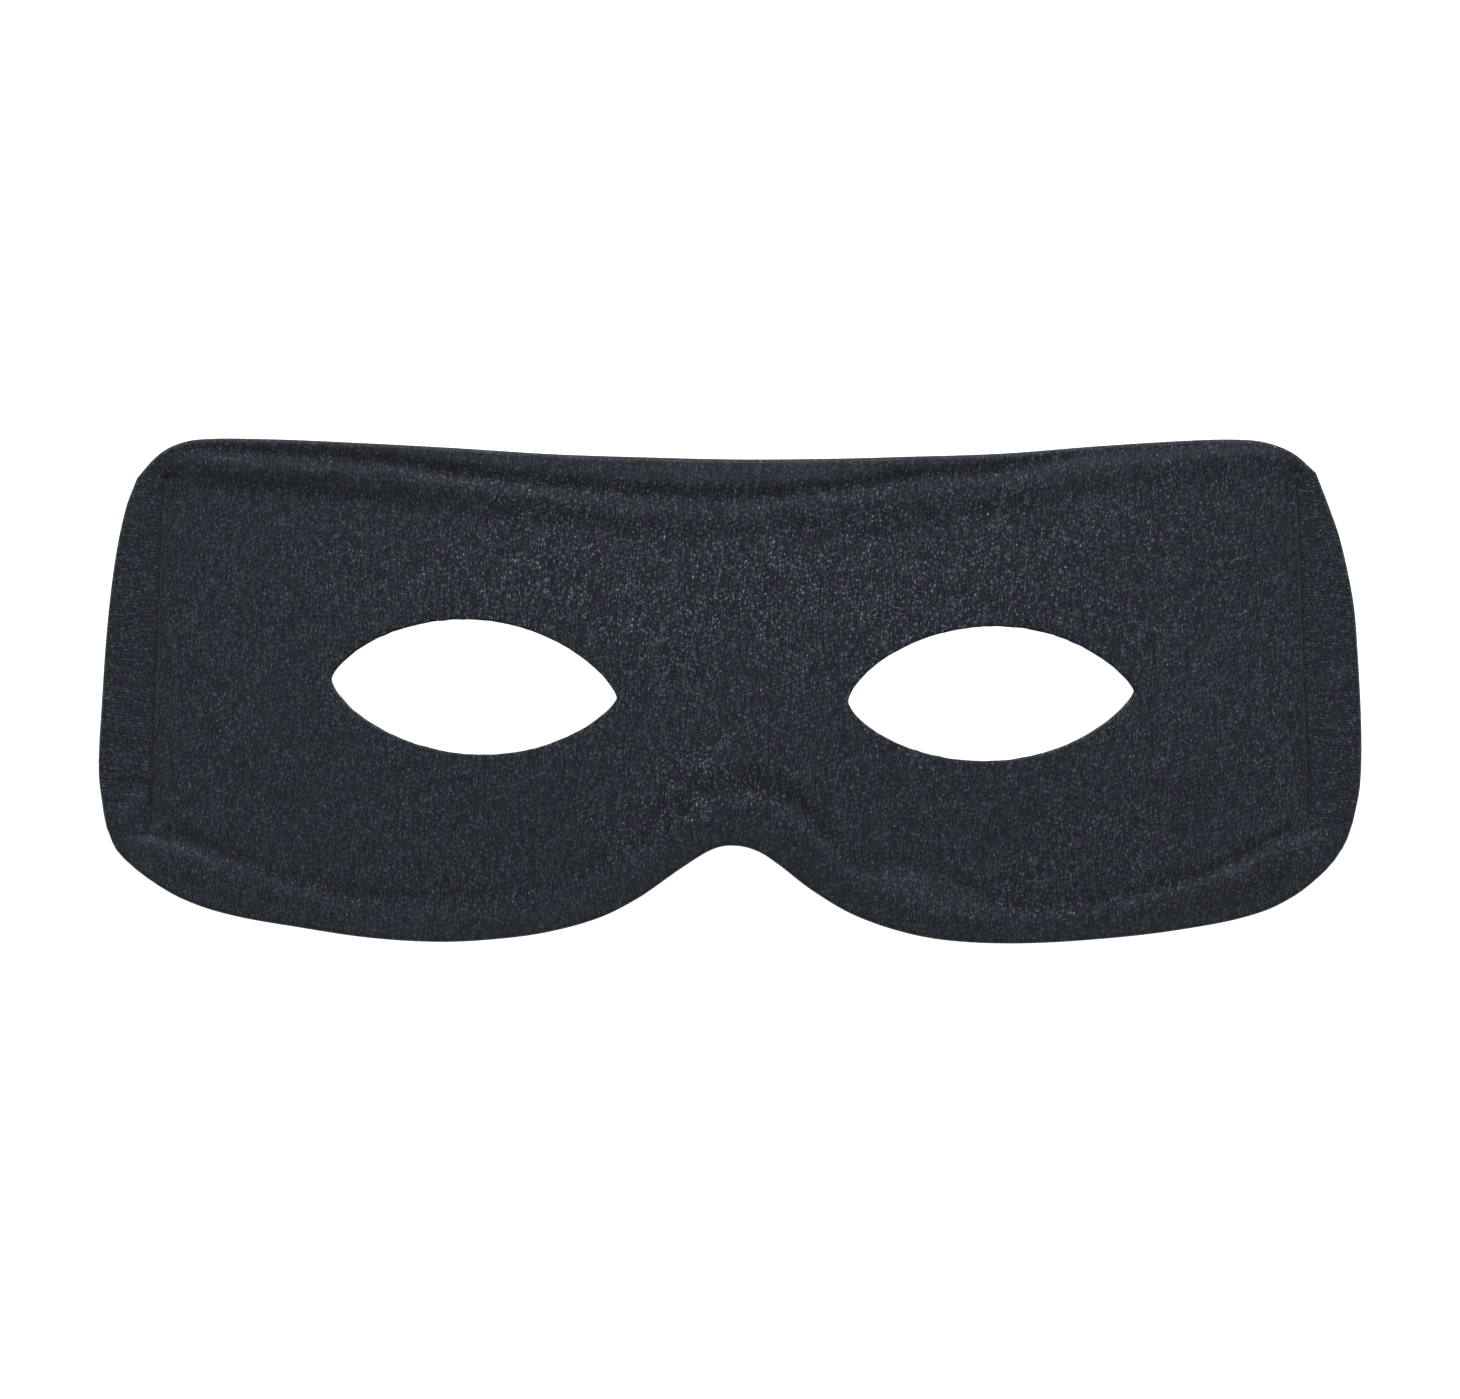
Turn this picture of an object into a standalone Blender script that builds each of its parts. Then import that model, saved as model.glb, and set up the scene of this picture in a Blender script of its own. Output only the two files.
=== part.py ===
# Domino mask of padded knit cloth, lying on its back with the front up.
# +X runs to the right of the front, +Y to the forehead edge, +Z out of the front.
# Metres. The origin is on the surface that the mask lies on, under its middle.

import math

import bmesh
import bpy

# Driving sizes.
MASK_WIDTH = 0.190
MASK_HEIGHT = 0.0755
ARCH_RISE = 0.015
CROWN_DROP = 0.0025
NOSE_LIFT = 0.0015
NOSE_RADIUS = 0.014
NOSE_CENTRE_Y = -0.013
PAD_THICKNESS = 0.0032
PAD_SHOULDER_WIDTH = 0.0045
BROW_ROLL_WIDTH = 0.0105
BROW_ROLL_THICKNESS = 0.0042
CHEEK_ROLL_WIDTH = 0.0104
CHEEK_ROLL_THICKNESS = 0.0045
HEM_WIDTH = 0.0086
HEM_THICKNESS = 0.0026
SEAM_LEAN = 0.0013
TURN_THICKNESS = 0.0006
PIECE_GAP = 0.0003
EYE_LENGTH = 0.0430
EYE_HEIGHT = 0.0200
EYE_SPACING = 0.0772
EYE_CUT_DEPTH = 0.040

HALF_WIDTH = MASK_WIDTH / 2
HALF_HEIGHT = MASK_HEIGHT / 2

# Edge points are shares of the half width and half height.
# line_x is the inner line's place as a share of the pad's half width at that height.
# drop is how far the inner line lies below the edge, as a share of the brow roll's width.
# ridge and crease are places across the roll, 0 at the inner line and 1 at the edge.
# depth is the crease's depth as a share of the roll's thickness.
BROW_COLUMNS = ("edge_x", "edge_y", "line_x", "drop", "ridge", "crease", "depth")
BROW_SECTIONS = (
    (-0.939, 0.849, -1.000, 0.00, 0.45, 0.75, 0.00),
    (-0.912, 0.925, -0.983, 0.27, 0.45, 0.80, 0.04),
    (-0.884, 0.972, -0.962, 0.43, 0.46, 0.85, 0.08),
    (-0.845, 0.999, -0.934, 0.54, 0.50, 0.85, 0.14),
    (-0.742, 1.000, -0.826, 0.59, 0.48, 0.77, 0.20),
    (-0.598, 0.983, -0.664, 0.65, 0.50, 0.66, 0.24),
    (-0.439, 0.959, -0.486, 0.74, 0.42, 0.61, 0.34),
    (-0.282, 0.932, -0.311, 0.87, 0.39, 0.61, 0.36),
    (-0.125, 0.917, -0.138, 0.98, 0.39, 0.58, 0.36),
    (0.016, 0.909, 0.018, 1.00, 0.37, 0.57, 0.36),
    (0.156, 0.912, 0.172, 0.93, 0.41, 0.61, 0.34),
    (0.266, 0.920, 0.294, 0.85, 0.44, 0.65, 0.28),
    (0.424, 0.936, 0.469, 0.70, 0.48, 0.70, 0.20),
    (0.582, 0.970, 0.645, 0.63, 0.48, 0.72, 0.10),
    (0.742, 0.997, 0.825, 0.54, 0.42, 0.74, 0.04),
    (0.815, 0.999, 0.905, 0.50, 0.43, 0.75, 0.00),
    (0.855, 0.984, 0.950, 0.42, 0.45, 0.75, 0.00),
    (0.895, 0.942, 0.982, 0.25, 0.45, 0.75, 0.00),
    (0.928, 0.870, 1.000, 0.00, 0.45, 0.75, 0.00),
)

# rise is how far the inner line lies above the edge, as a share of the cheek roll's width.
# groove is how deep the roll starts below its ridge, as a share of its thickness.
CHEEK_COLUMNS = ("edge_x", "edge_y", "line_x", "rise", "groove")
CHEEK_SECTIONS = (
    (-0.987, -0.547, -1.000, -0.11, 0.34),
    (-0.969, -0.642, -0.985, 0.20, 0.38),
    (-0.926, -0.738, -0.968, 0.52, 0.42),
    (-0.871, -0.822, -0.944, 0.74, 0.44),
    (-0.791, -0.889, -0.862, 0.83, 0.44),
    (-0.678, -0.938, -0.740, 0.70, 0.44),
    (-0.566, -0.977, -0.618, 0.66, 0.44),
    (-0.455, -0.991, -0.498, 0.67, 0.42),
    (-0.360, -0.977, -0.394, 0.68, 0.38),
    (-0.282, -0.948, -0.315, 0.71, 0.30),
    (-0.203, -0.891, -0.238, 0.80, 0.22),
    (-0.141, -0.811, -0.177, 0.85, 0.26),
    (-0.078, -0.700, -0.118, 0.86, 0.40),
    (-0.028, -0.623, -0.054, 0.95, 0.50),
    (0.008, -0.608, 0.010, 1.00, 0.54),
    (0.044, -0.631, 0.067, 1.00, 0.52),
    (0.078, -0.687, 0.112, 0.93, 0.46),
    (0.125, -0.779, 0.157, 0.88, 0.38),
    (0.188, -0.875, 0.212, 0.89, 0.26),
    (0.266, -0.946, 0.289, 0.82, 0.20),
    (0.345, -0.984, 0.376, 0.73, 0.26),
    (0.455, -0.997, 0.493, 0.66, 0.36),
    (0.582, -0.982, 0.623, 0.68, 0.42),
    (0.702, -0.951, 0.742, 0.73, 0.44),
    (0.823, -0.894, 0.873, 0.85, 0.44),
    (0.895, -0.814, 0.951, 0.78, 0.42),
    (0.950, -0.698, 0.984, 0.47, 0.38),
    (0.974, -0.610, 0.992, 0.17, 0.36),
    (0.987, -0.520, 1.000, -0.15, 0.34),
)

# The outer edges of the side hems, from the brow roll down to the cheek roll.
HEM_COLUMNS = ("edge_x", "edge_y")
LEFT_HEM_SECTIONS = (
    (-0.939, 0.849),
    (-0.957, 0.729),
    (-0.974, 0.523),
    (-0.987, 0.244),
    (-0.995, -0.056),
    (-1.000, -0.316),
    (-0.993, -0.470),
    (-0.987, -0.547),
)
RIGHT_HEM_SECTIONS = (
    (0.928, 0.870),
    (0.950, 0.727),
    (0.967, 0.600),
    (0.987, 0.362),
    (0.994, 0.163),
    (1.000, -0.156),
    (0.998, -0.375),
    (0.987, -0.520),
)

# centre_x is a share of half the eye spacing, centre_y of the half height, tilt in degrees.
# upper is the share of the eye's height above the line through its corners.
# From the middle the height falls as (1 - share ** 2) to the power blunt_left or blunt_right.
EYE_COLUMNS = ("name", "centre_x", "centre_y", "tilt", "upper", "blunt_left", "blunt_right")
EYES = (
    ("left_eye_cut", -0.990, 0.010, -3.8, 0.51, 0.69, 0.75),
    ("right_eye_cut", 1.010, -0.021, 2.1, 0.52, 0.67, 0.77),
)
EYE_SIDES = 36

# Where the pieces are divided along and across.
STATIONS_PER_SECTION = 3
HEM_STATIONS = 16
HEM_ACROSS = 4
PAD_COLUMNS = 60
PAD_ROWS = 18

# Front and back heights across a piece, as shares of its thickness.
PAD_EDGE_SHARE = 0.70
LINE_SHARE = 0.74
SHOULDER_SHARE = 0.91
LIP_SHARE = 0.84
OUTER_SHARE = 0.66
EDGE_TOP_SHARE = 0.42
EDGE_UNDERSIDE_SHARE = 0.12
UNDERSIDE_START_SHARE = 0.7

# How the arch rises from the seams, and how the pad's rows crowd towards its borders.
ARCH_POWER = 1.5
CROWDING = 0.6
SMOOTH_ANGLE = 40

CLOTH_COLOUR = (0.024, 0.029, 0.036, 1.0)
CLOTH_ROUGHNESS = 0.92
# How light each piece's cloth is beside the pad's.
SHADES = {
    "face_pad": 1.0,
    "brow_roll": 1.1,
    "cheek_roll": 1.05,
    "left_hem": 0.9,
    "right_hem": 0.9,
}


def clear_scene():
    for thing in list(bpy.data.objects):
        bpy.data.objects.remove(thing, do_unlink=True)


def new_collection(name):
    collection = bpy.data.collections.new(name)
    bpy.context.scene.collection.children.link(collection)
    return collection


def cloth_material(name):
    shade = SHADES[name]
    material = bpy.data.materials.new(name)
    material.use_nodes = True
    surface = material.node_tree.nodes["Principled BSDF"]
    red, green, blue, alpha = CLOTH_COLOUR
    surface.inputs["Base Color"].default_value = (red * shade, green * shade, blue * shade, alpha)
    surface.inputs["Roughness"].default_value = CLOTH_ROUGHNESS
    surface.inputs["Metallic"].default_value = 0.0
    return material


def mix(start, end, share):
    return start + (end - start) * share


def ease(share):
    share = min(max(share, 0.0), 1.0)
    return share * share * (3 - 2 * share)


def named_rows(columns, sections):
    return [dict(zip(columns, section)) for section in sections]


def smooth_value(places, values, place):
    """A smooth line through the values, read at one place."""
    last = len(places) - 1
    index = 0
    while index < last - 1 and place > places[index + 1]:
        index += 1

    def slope(at):
        before = max(at - 1, 0)
        after = min(at + 1, last)
        return (values[after] - values[before]) / (places[after] - places[before])

    span = places[index + 1] - places[index]
    share = min(max((place - places[index]) / span, 0.0), 1.0)
    squared = share * share
    cubed = squared * share
    return (
        (2 * cubed - 3 * squared + 1) * values[index]
        + (cubed - 2 * squared + share) * span * slope(index)
        + (3 * squared - 2 * cubed) * values[index + 1]
        + (cubed - squared) * span * slope(index + 1)
    )


def edge_lengths(rows):
    """How far along the edge each section lies."""
    lengths = [0.0]
    for first, second in zip(rows, rows[1:]):
        step_x = (second["edge_x"] - first["edge_x"]) * HALF_WIDTH
        step_y = (second["edge_y"] - first["edge_y"]) * HALF_HEIGHT
        lengths.append(lengths[-1] + math.hypot(step_x, step_y))
    return lengths


def stations(rows, per_section):
    """The sections and the smooth ones between them, each a dict of its columns."""
    lengths = edge_lengths(rows)
    found = []
    for index in range((len(rows) - 1) * per_section + 1):
        section, step = divmod(index, per_section)
        place = lengths[section]
        if step:
            place = mix(lengths[section], lengths[section + 1], step / per_section)
        found.append({
            column: smooth_value(lengths, [row[column] for row in rows], place)
            for column in rows[0]
        })
    return found


def seam_x(y):
    """The side seam's distance from the middle at this height."""
    return HALF_WIDTH - HEM_WIDTH - SEAM_LEAN * y / HALF_HEIGHT


def back_height(x, y):
    """The back of the pad: an arch between the side seams, lower at the brow and cheeks."""
    span = seam_x(y)
    inside = max(1 - (x / span) ** 2, 0.0) ** ARCH_POWER
    crown = CROWN_DROP * (y / HALF_HEIGHT) ** 2
    from_nose = math.hypot(x, y - NOSE_CENTRE_Y) / NOSE_RADIUS
    return (ARCH_RISE - crown) * inside + NOSE_LIFT * math.exp(-from_nose * from_nose) * inside


def brow_line(station):
    y = station["edge_y"] * HALF_HEIGHT - station["drop"] * BROW_ROLL_WIDTH
    return station["line_x"] * seam_x(y), y


def cheek_line(station):
    y = station["edge_y"] * HALF_HEIGHT + station["rise"] * CHEEK_ROLL_WIDTH
    return station["line_x"] * seam_x(y), y


def closed_sheet(name, columns, rows, place, collection, parent):
    """A closed slab from a grid: place(i, j, top) gives each corner of its back and front."""
    mesh = bpy.data.meshes.new(name)
    slab = bmesh.new()
    bmesh.ops.create_grid(slab, x_segments=columns, y_segments=rows, size=1.0)
    grown = bmesh.ops.extrude_face_region(slab, geom=list(slab.faces), use_keep_orig=True)
    front = {item for item in grown["geom"] if isinstance(item, bmesh.types.BMVert)}
    for vert in slab.verts:
        column = round((vert.co.x + 1) / 2 * columns)
        row = round((vert.co.y + 1) / 2 * rows)
        vert.co = place(column, row, vert in front)
    bmesh.ops.recalc_face_normals(slab, faces=slab.faces)
    slab.to_mesh(mesh)
    slab.free()
    mesh.materials.append(cloth_material(name))
    piece = bpy.data.objects.new(name, mesh)
    collection.objects.link(piece)
    piece.parent = parent
    for face in mesh.polygons:
        face.use_smooth = True
    mesh.set_sharp_from_angle(angle=math.radians(SMOOTH_ANGLE))
    return piece


def roll_piece(name, found, line, profile, thickness, collection, parent):
    """A padded roll between the pad's line and the mask's edge, lofted through its stations."""
    across = len(profile(found[0])) - 1

    def place(column, row, top):
        station = found[column]
        share, height = profile(station)[row]
        line_x, line_y = line(station)
        edge_x = station["edge_x"] * HALF_WIDTH
        edge_y = station["edge_y"] * HALF_HEIGHT
        width = math.hypot(edge_x - line_x, edge_y - line_y)
        start = PIECE_GAP / 2 / width
        x = mix(line_x, edge_x, mix(start, 1.0, share))
        y = mix(line_y, edge_y, mix(start, 1.0, share))
        back = back_height(x, y)
        from_end = ease((HALF_WIDTH - abs(x)) / (2 * HEM_WIDTH))
        depth = mix(HEM_THICKNESS, thickness, from_end)
        if top:
            return x, y, back + depth * height
        turned = TURN_THICKNESS * math.sin(math.pi * share)
        outward = (share - UNDERSIDE_START_SHARE) / (1 - UNDERSIDE_START_SHARE)
        rounded = EDGE_UNDERSIDE_SHARE * depth * ease(outward)
        return x, y, max(back - turned, 0.0) + rounded

    return closed_sheet(name, len(found) - 1, across, place, collection, parent)


def brow_profile(station):
    ridge = station["ridge"]
    crease = station["crease"]
    floor = 1 - station["depth"]
    beyond = 1 - crease
    return (
        (0.0, LINE_SHARE),
        (0.5 * ridge, SHOULDER_SHARE),
        (ridge, 1.0),
        (mix(ridge, crease, 0.5), mix(1.0, floor, 0.4)),
        (crease, min(floor, SHOULDER_SHARE)),
        (crease + 0.35 * beyond, LIP_SHARE),
        (crease + 0.75 * beyond, OUTER_SHARE),
        (1.0, EDGE_TOP_SHARE),
    )


def cheek_profile(station):
    groove = station["groove"]
    return (
        (0.0, 1 - groove),
        (0.12, 1 - 0.45 * groove),
        (0.30, 1.0),
        (0.50, 0.97),
        (0.70, LIP_SHARE),
        (0.87, OUTER_SHARE),
        (1.0, EDGE_TOP_SHARE),
    )


def hem_piece(name, sections, side, top_y, bottom_y, collection, parent):
    """A flat side hem from its seam out to the mask's edge, resting on its back."""
    rows = named_rows(HEM_COLUMNS, sections)
    lengths = edge_lengths(rows)
    edges_x = [row["edge_x"] for row in rows]
    edges_y = [row["edge_y"] for row in rows]
    heights = (LINE_SHARE, 1.0, 1.0, 0.9, EDGE_TOP_SHARE)

    def place(column, row, top):
        along = column / HEM_STATIONS
        margin = PIECE_GAP / lengths[-1]
        length = lengths[-1] * mix(margin, 1 - margin, along)
        edge_x = smooth_value(lengths, edges_x, length) * HALF_WIDTH
        edge_y = smooth_value(lengths, edges_y, length) * HALF_HEIGHT
        seam_y = mix(top_y - PIECE_GAP, bottom_y + PIECE_GAP, along)
        start_x = side * (seam_x(seam_y) + PIECE_GAP / 2)
        share = row / HEM_ACROSS
        x = mix(start_x, edge_x, share)
        y = mix(seam_y, edge_y, share)
        return x, y, HEM_THICKNESS * heights[row] if top else 0.0

    return closed_sheet(name, HEM_STATIONS, HEM_ACROSS, place, collection, parent)


def crowded(share):
    """Places from 0 to 1 that lie closer together near both ends."""
    return mix(share, ease(share), CROWDING)


def pad_piece(brow_points, cheek_points, collection, parent):
    """The padded face between the two rolls and the two seams."""
    brow_x = [x / seam_x(y) for x, y in brow_points]
    brow_y = [y for x, y in brow_points]
    cheek_x = [x / seam_x(y) for x, y in cheek_points]
    cheek_y = [y for x, y in cheek_points]

    def place(column, row, top):
        across = mix(-1.0, 1.0, column / PAD_COLUMNS)
        up = crowded(row / PAD_ROWS)
        top_y = smooth_value(brow_x, brow_y, across) - PIECE_GAP / 2
        bottom_y = smooth_value(cheek_x, cheek_y, across) + PIECE_GAP / 2
        y = mix(bottom_y, top_y, up)
        x = across * (seam_x(y) - PIECE_GAP / 2)
        back = back_height(x, y)
        if not top:
            return x, y, back
        to_border = min(top_y - y, y - bottom_y, seam_x(y) - abs(x))
        fullness = mix(PAD_EDGE_SHARE, 1.0, ease(to_border / PAD_SHOULDER_WIDTH))
        return x, y, back + PAD_THICKNESS * fullness

    return closed_sheet("face_pad", PAD_COLUMNS, PAD_ROWS, place, collection, parent)


def eye_cutter(row, collection, parent):
    """A prism of the eye's almond outline, made from a circle drawn out to two blunt ends."""
    mesh = bpy.data.meshes.new(row["name"])
    prism = bmesh.new()
    bmesh.ops.create_circle(prism, cap_ends=True, segments=EYE_SIDES, radius=1.0)
    for vert in prism.verts:
        reach = row["upper"] if vert.co.y >= 0 else row["upper"] - 1
        blunt = row["blunt_left"] if vert.co.x < 0 else row["blunt_right"]
        vert.co.y = reach * EYE_HEIGHT * max(1 - vert.co.x ** 2, 0.0) ** blunt
        vert.co.x *= EYE_LENGTH / 2
    grown = bmesh.ops.extrude_face_region(prism, geom=list(prism.faces), use_keep_orig=True)
    for item in grown["geom"]:
        if isinstance(item, bmesh.types.BMVert):
            item.co.z += EYE_CUT_DEPTH
    bmesh.ops.recalc_face_normals(prism, faces=prism.faces)
    prism.to_mesh(mesh)
    prism.free()
    cutter = bpy.data.objects.new(row["name"], mesh)
    collection.objects.link(cutter)
    cutter.location = (
        row["centre_x"] * EYE_SPACING / 2,
        row["centre_y"] * HALF_HEIGHT,
        ARCH_RISE / 2 - EYE_CUT_DEPTH / 2,
    )
    cutter.rotation_euler = (0.0, 0.0, math.radians(row["tilt"]))
    cutter.parent = parent
    cutter.hide_render = True
    cutter.display_type = "WIRE"
    return cutter


def cut(piece, cutter):
    hole = piece.modifiers.new(cutter.name, "BOOLEAN")
    hole.operation = "DIFFERENCE"
    hole.solver = "EXACT"
    hole.object = cutter


def build():
    clear_scene()
    pieces = new_collection("domino_mask")
    cutters = new_collection("domino_mask_cutters")
    frame = bpy.data.objects.new("domino_mask_frame", None)
    pieces.objects.link(frame)

    brow = stations(named_rows(BROW_COLUMNS, BROW_SECTIONS), STATIONS_PER_SECTION)
    cheek = stations(named_rows(CHEEK_COLUMNS, CHEEK_SECTIONS), STATIONS_PER_SECTION)
    roll_piece("brow_roll", brow, brow_line, brow_profile, BROW_ROLL_THICKNESS, pieces, frame)
    roll_piece(
        "cheek_roll", cheek, cheek_line, cheek_profile, CHEEK_ROLL_THICKNESS, pieces, frame
    )

    brow_points = [brow_line(station) for station in brow]
    cheek_points = [cheek_line(station) for station in cheek]
    pad = pad_piece(brow_points, cheek_points, pieces, frame)
    for row in named_rows(EYE_COLUMNS, EYES):
        cut(pad, eye_cutter(row, cutters, frame))

    hem_piece(
        "left_hem", LEFT_HEM_SECTIONS, -1, brow_points[0][1], cheek_points[0][1], pieces, frame
    )
    hem_piece(
        "right_hem", RIGHT_HEM_SECTIONS, 1, brow_points[-1][1], cheek_points[-1][1], pieces, frame
    )


build()
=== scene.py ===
# Dressed model of a padded domino mask: knit cloth over foam, rolled edges, stitched side hems.
# Metres, in the frame of the solids: +X right, +Y to the forehead edge, +Z out of the front.

import math

import bmesh
import bpy
from mathutils import Matrix, Vector, noise


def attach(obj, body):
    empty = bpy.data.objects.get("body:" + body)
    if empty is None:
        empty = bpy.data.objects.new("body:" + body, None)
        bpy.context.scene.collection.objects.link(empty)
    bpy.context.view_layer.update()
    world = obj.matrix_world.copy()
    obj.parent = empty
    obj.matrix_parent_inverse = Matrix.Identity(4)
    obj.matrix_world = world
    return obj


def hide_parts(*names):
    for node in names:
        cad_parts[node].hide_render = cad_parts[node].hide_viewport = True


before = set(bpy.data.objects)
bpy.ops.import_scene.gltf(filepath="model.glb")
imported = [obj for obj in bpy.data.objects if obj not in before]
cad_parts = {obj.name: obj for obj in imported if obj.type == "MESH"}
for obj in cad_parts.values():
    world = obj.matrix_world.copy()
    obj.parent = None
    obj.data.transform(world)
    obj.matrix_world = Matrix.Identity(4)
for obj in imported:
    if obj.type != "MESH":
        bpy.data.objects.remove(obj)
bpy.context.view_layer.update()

# Sizes, the same as the solids'.
MASK_WIDTH = 0.190
MASK_HEIGHT = 0.0755
ARCH_RISE = 0.015
ARCH_POWER = 1.5
CROWN_DROP = 0.0025
NOSE_LIFT = 0.0015
NOSE_RADIUS = 0.014
NOSE_CENTRE_Y = -0.013
FACE_THICKNESS = 0.0037
BROW_ROLL_WIDTH = 0.0105
CHEEK_ROLL_WIDTH = 0.0104
HEM_WIDTH = 0.0086
HEM_THICKNESS = 0.0026
SEAM_LEAN = 0.0013
TURN_THICKNESS = 0.0006
EYE_LENGTH = 0.0430
EYE_HEIGHT = 0.0200
EYE_SPACING = 0.0772

HALF_WIDTH = MASK_WIDTH / 2
HALF_HEIGHT = MASK_HEIGHT / 2

# Edge points are shares of the half width and half height.
# line_x is the inner line's place as a share of the pad's half width at that height.
# drop is how far the inner line lies below the edge, as a share of the brow roll's width.
# foot, crest, valley and lip are places across the roll, 0 at the inner line and 1 at the
# edge, with those on the face below 0. swell is the crest's height above the face, dip the
# valley's depth below the crest and step the lip's height above the valley, in millimetres.
BROW_COLUMNS = (
    "edge_x", "edge_y", "line_x", "drop", "foot", "crest", "valley", "lip", "swell", "dip", "step"
)
BROW_SECTIONS = (
    (-0.939, 0.849, -1.000, 0.00, -0.40, 0.45, 0.76, 0.95, 0.40, 0.06, 0.00),
    (-0.912, 0.925, -0.983, 0.27, -0.40, 0.45, 0.76, 0.95, 0.57, 0.11, 0.02),
    (-0.884, 0.972, -0.962, 0.43, -0.40, 0.44, 0.75, 0.94, 0.80, 0.16, 0.09),
    (-0.845, 0.999, -0.934, 0.54, -0.38, 0.40, 0.72, 0.92, 1.09, 0.34, 0.23),
    (-0.742, 1.000, -0.826, 0.59, -0.37, 0.31, 0.65, 0.89, 1.44, 0.34, 0.41),
    (-0.598, 0.983, -0.664, 0.65, -0.36, 0.32, 0.60, 0.89, 1.49, 0.30, 0.62),
    (-0.439, 0.959, -0.486, 0.74, -0.32, 0.28, 0.51, 0.78, 1.15, 0.32, 0.72),
    (-0.282, 0.932, -0.311, 0.87, -0.18, 0.25, 0.46, 0.71, 0.87, 0.26, 0.74),
    (-0.125, 0.917, -0.138, 0.98, -0.19, 0.20, 0.45, 0.67, 0.67, 0.22, 0.78),
    (0.016, 0.909, 0.018, 1.00, -0.13, 0.23, 0.44, 0.63, 0.48, 0.15, 0.76),
    (0.156, 0.912, 0.172, 0.93, -0.25, 0.31, 0.51, 0.69, 0.86, 0.14, 0.72),
    (0.266, 0.920, 0.294, 0.85, -0.26, 0.33, 0.59, 0.82, 1.05, 0.15, 0.76),
    (0.424, 0.936, 0.469, 0.70, -0.31, 0.35, 0.63, 0.90, 0.67, 0.24, 0.46),
    (0.582, 0.970, 0.645, 0.63, -0.25, 0.44, 0.84, 0.97, 0.55, 0.39, 0.05),
    (0.742, 0.997, 0.825, 0.54, -0.20, 0.50, 0.90, 0.98, 0.48, 0.41, 0.00),
    (0.815, 0.999, 0.905, 0.50, -0.20, 0.55, 0.90, 0.98, 0.44, 0.37, 0.00),
    (0.855, 0.984, 0.950, 0.42, -0.20, 0.56, 0.90, 0.98, 0.39, 0.30, 0.00),
    (0.895, 0.942, 0.982, 0.25, -0.20, 0.56, 0.90, 0.98, 0.34, 0.17, 0.00),
    (0.928, 0.870, 1.000, 0.00, -0.20, 0.56, 0.90, 0.98, 0.29, 0.11, 0.00),
)

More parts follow.
